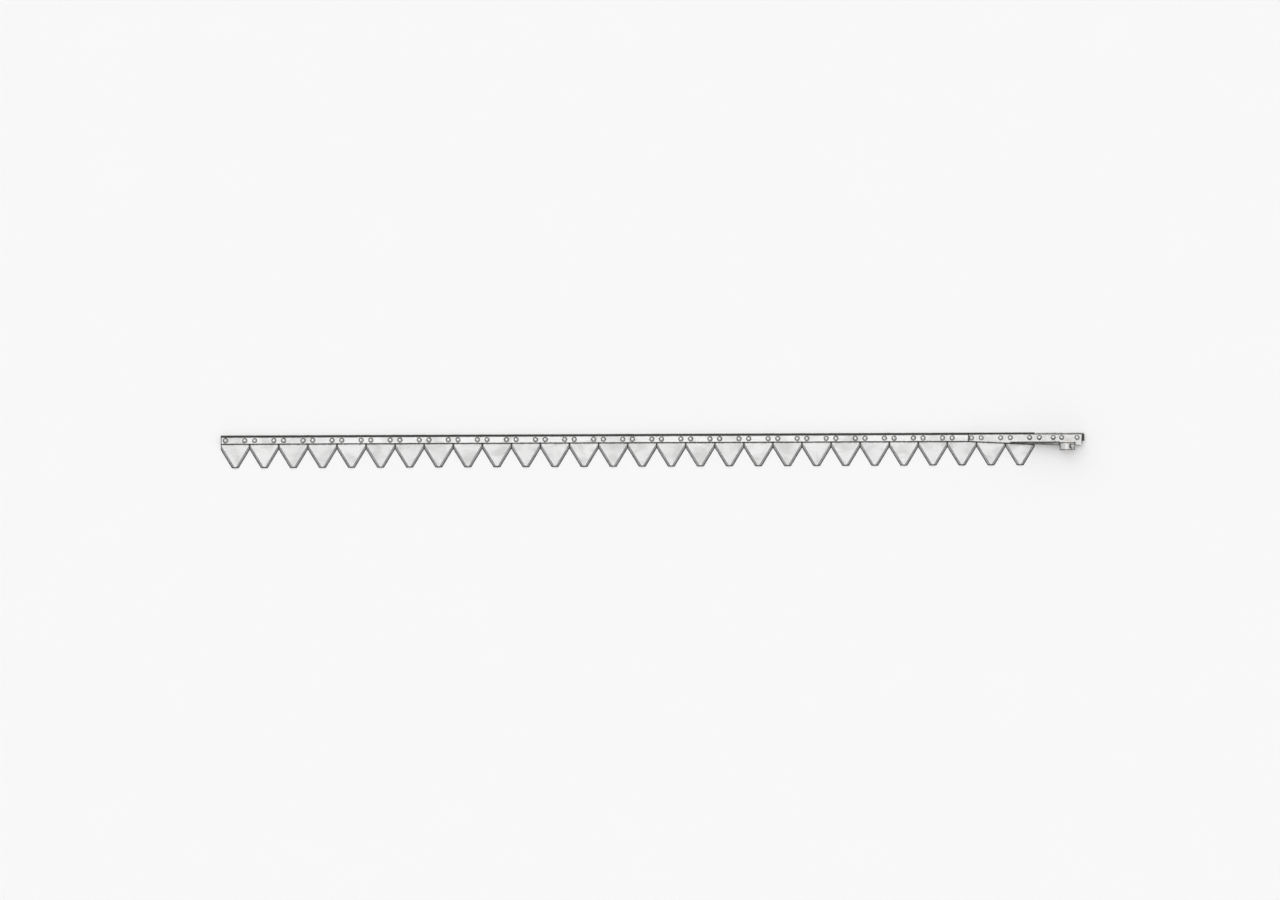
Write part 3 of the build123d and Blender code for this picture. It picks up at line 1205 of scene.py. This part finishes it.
# Grease with painted shade in the corner behind the rib
off_foot = off(y, lug_back_y + 1.2 * MM)
past_rib_start = past(x, rib_start_x - MM, rib_start_x + 4 * MM)
above_strap = past(z, strap_top - MM, strap_top)
foot_line = line_mask(place, off_foot, width=2.4 * MM)
foot_line = times(foot_line, past_rib_start, rib_part, above_strap)

off_rear = off(y, bar_high.y)
off_edge = least(off(level_front(x, y), bar_low.y), off_rear, off(x, head_low.x))
before_lug = before(x, lug_start_x - MM, lug_start_x)
on_rear = before(off_rear, 3 * MM, 4 * MM)
strap_edge = line_mask(place, off_edge, width=1.9 * MM)
strap_edge = times(strap_edge, most(before_lug, on_rear), near_top)
dark_lines = most(rim_scale, end_line, smear, foot_line, strap_edge)
print("with the strap,", len(forged_steel.node_tree.nodes), "nodes")

# %% [markdown]
# Rivet rings of grease and painted shade are placed one by one here, because the rivets past the
# last section don't follow the pitch. They lie on the strap only. Then the parts of the finish come
# together.

# %% Rivet rings and the finished forging
# One dark colour for scale, grease, and the painted shade at the foot of the rib
SCALE_GREASE_AND_SHADE = (0.055, 0.053, 0.051, 1)
colour = blend(times(dark_lines, 0.96), colour, SCALE_GREASE_AND_SHADE)
# Rings of grease with painted shade round the rivets on the strap
from_ring = off(from_nearest(place, long_places), ring_radius)
ring = times(line_mask(place, from_ring, ring_width), before(z, strap_top, strap_top + MM))
colour = blend(times(ring, 0.85), colour, GREASE_AND_SHADE)
rough = plus(roughness(fine, 0.36, 0.56), times(dark_lines, 0.3))
relief = plus(times(before(pits, 0.05, 0.35), -0.8), fine)
finish(forged_steel, colour, rough, relief, depth=0.05 * MM)
dress([head], forged_steel, "forged_steel", "knife_head")

# %% [markdown]
# ### Rivet steel
# A rivet head shows the small flats that the hammer left, with grease and painted shade around its
# foot. The flats could be modelled, but sixty rivets would get heavy, so they are relief. The foot
# is found by the distance from the axis, a number stored on the points of the rivet before it was
# copied.

# %% Rivet steel
rivet_steel, place = start_finish("rivet_steel")
dents = next_node("ShaderNodeTexVoronoi", {"Vector": place, "Scale": 520.0}, feature="SMOOTH_F1")
fine = grain(place, (1500, 1500, 1500))
colour = blend(patches(place, 180.0), (0.62, 0.62, 0.615, 1), (0.46, 0.46, 0.455, 1))
colour = streaked(colour, fine, 0.4, (0.45, 0.8), grey(0.3))
colour = blend(worn(place, 500.0), colour, grey(0.82))
# Grease with painted shade round the foot of the head
to_foot = minus(rivet_head - 0.3 * MM, stored(place, "from_axis"))
foot_ring = line_mask(place, to_foot, width=1.4 * MM)
colour = blend(times(foot_ring, 0.85), colour, GREASE_AND_SHADE)
rough = plus(roughness(fine, 0.26, 0.44), times(foot_ring, 0.3))
finish(rivet_steel, colour, rough, dents.outputs["Distance"], depth=0.12 * MM)
dress(short_rivets, rivet_steel, "rivet_steel", "section_rivets")
dress(long_rivets, rivet_steel, "rivet_steel", "head_rivets")

# %% [markdown]
# ### Bronze
# The bushing is bronze, with fine turning marks round its bore and its rims. The marks are grain on
# a place of the lathe: the distance from the axis, and the place along it.

# %% Bronze
bronze, place = start_finish("bronze")
centred = next_node("ShaderNodeMapping", {"Vector": place, "Location": (-lug_x, 0, -bore_z)})
x, y, z = parts(centred.outputs["Vector"])
marks = grain(joined(distance(x, z), y), (2600, 2600, 1))
colour = blend(patches(place, 90.0), (0.58, 0.41, 0.22, 1), (0.44, 0.30, 0.16, 1))
colour = streaked(colour, marks, 0.4, (0.4, 0.75), (0.34, 0.21, 0.10, 1))
colour = blend(worn(place), colour, (0.82, 0.62, 0.36, 1))
finish(bronze, colour, roughness(marks, 0.22, 0.42), marks, depth=0.03 * MM)
dress([bushing], bronze, "bronze", "drive_bushing")

# %% [markdown]
# ### Zinc
# The fitting is steel with a thin bright zinc coat: pale, a little blue in its patches, with a fine
# even grain and no direction.

# %% Zinc
zinc, place = start_finish("zinc")
fine = grain(place, (2200, 2200, 2200))
colour = blend(patches(place, 260.0), (0.74, 0.74, 0.72, 1), (0.58, 0.59, 0.60, 1))
colour = streaked(colour, fine, 0.35, (0.45, 0.8), grey(0.4))
colour = blend(worn(place, 600.0), colour, (0.88, 0.88, 0.87, 1))
finish(zinc, colour, roughness(fine, 0.24, 0.42), fine, depth=0.02 * MM)
dress([nut], zinc, "zinc", "grease_fitting")
